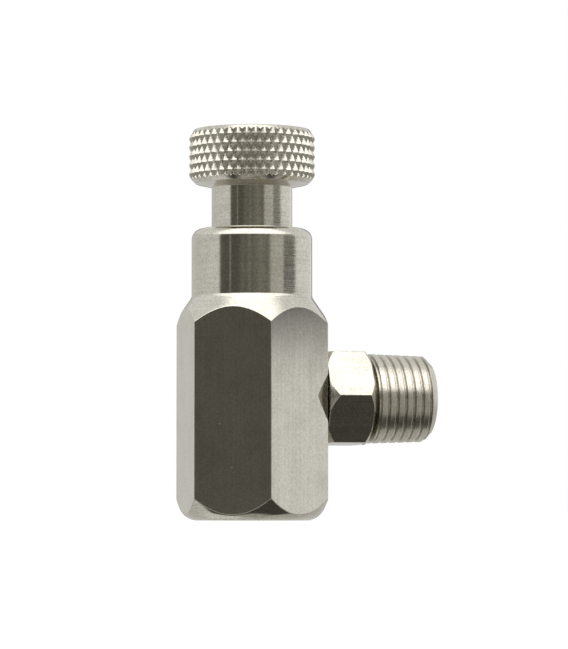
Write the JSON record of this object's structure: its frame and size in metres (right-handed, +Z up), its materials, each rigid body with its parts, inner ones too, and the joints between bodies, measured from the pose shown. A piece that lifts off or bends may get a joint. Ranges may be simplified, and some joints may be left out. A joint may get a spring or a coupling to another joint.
{
  "type": "needle valve",
  "caption": "Angle needle valve: hexagon body with round collar, knurled knob on a screwed spindle, female bottom inlet and tapered male side outlet.",
  "frame": {"origin": "middle of the bottom of the bounding box, at the height of the body's bottom face", "axes": "+Z up along the spindle towards the knob, +X along the outlet away from the body, +Y across"},
  "size_m": [0.038, 0.024, 0.0591],
  "materials": {
    "nickel_plate": "bright nickel plate on machined brass, with fine turning marks",
    "brass": "machined",
    "stainless_steel": "machined",
    "black_steel": "blackened",
    "black_rubber": "satin",
    "white_ptfe": "waxy",
    "red_fibre": "fibrous, matte"
  },
  "bodies": {
    "valve": {"valve_body": "nickel_plate", "inlet_seal_washer": "red_fibre", "inlet_strainer": "stainless_steel", "strainer_snap_ring": "stainless_steel", "seat_bush": "brass", "seat_bush_o_ring": "black_rubber", "packing_washer": "stainless_steel", "packing_ring_1": "white_ptfe", "packing_ring_2": "white_ptfe", "gland_follower": "brass", "guide_bush": "brass", "outlet_nipple": "nickel_plate", "nipple_o_ring": "black_rubber"},
    "needle_rise": {"needle": "stainless_steel"},
    "spindle_and_knob": {"spindle": "stainless_steel", "spindle_stop_clip": "stainless_steel", "needle_clip": "stainless_steel", "knob": "nickel_plate", "knob_grub_screw": "black_steel", "hub_friction_ring": "black_rubber"}
  },
  "joints": [
    {"name": "needle_lift", "type": "slide", "parent": "valve", "child": "needle_rise", "axis": [0, 0, 1], "range_m": [-0.003, 0.00075]},
    {"name": "knob_turn", "type": "hinge", "parent": "needle_rise", "child": "spindle_and_knob", "pos_m": [-0.00868, 0, 0.0545], "axis": [0, 0, 1], "range_deg": [-1440, 360]}
  ],
  "couplings": [
    {"joint": "knob_turn", "follows": "needle_lift", "rad_per_m": 8377.6}
  ]
}
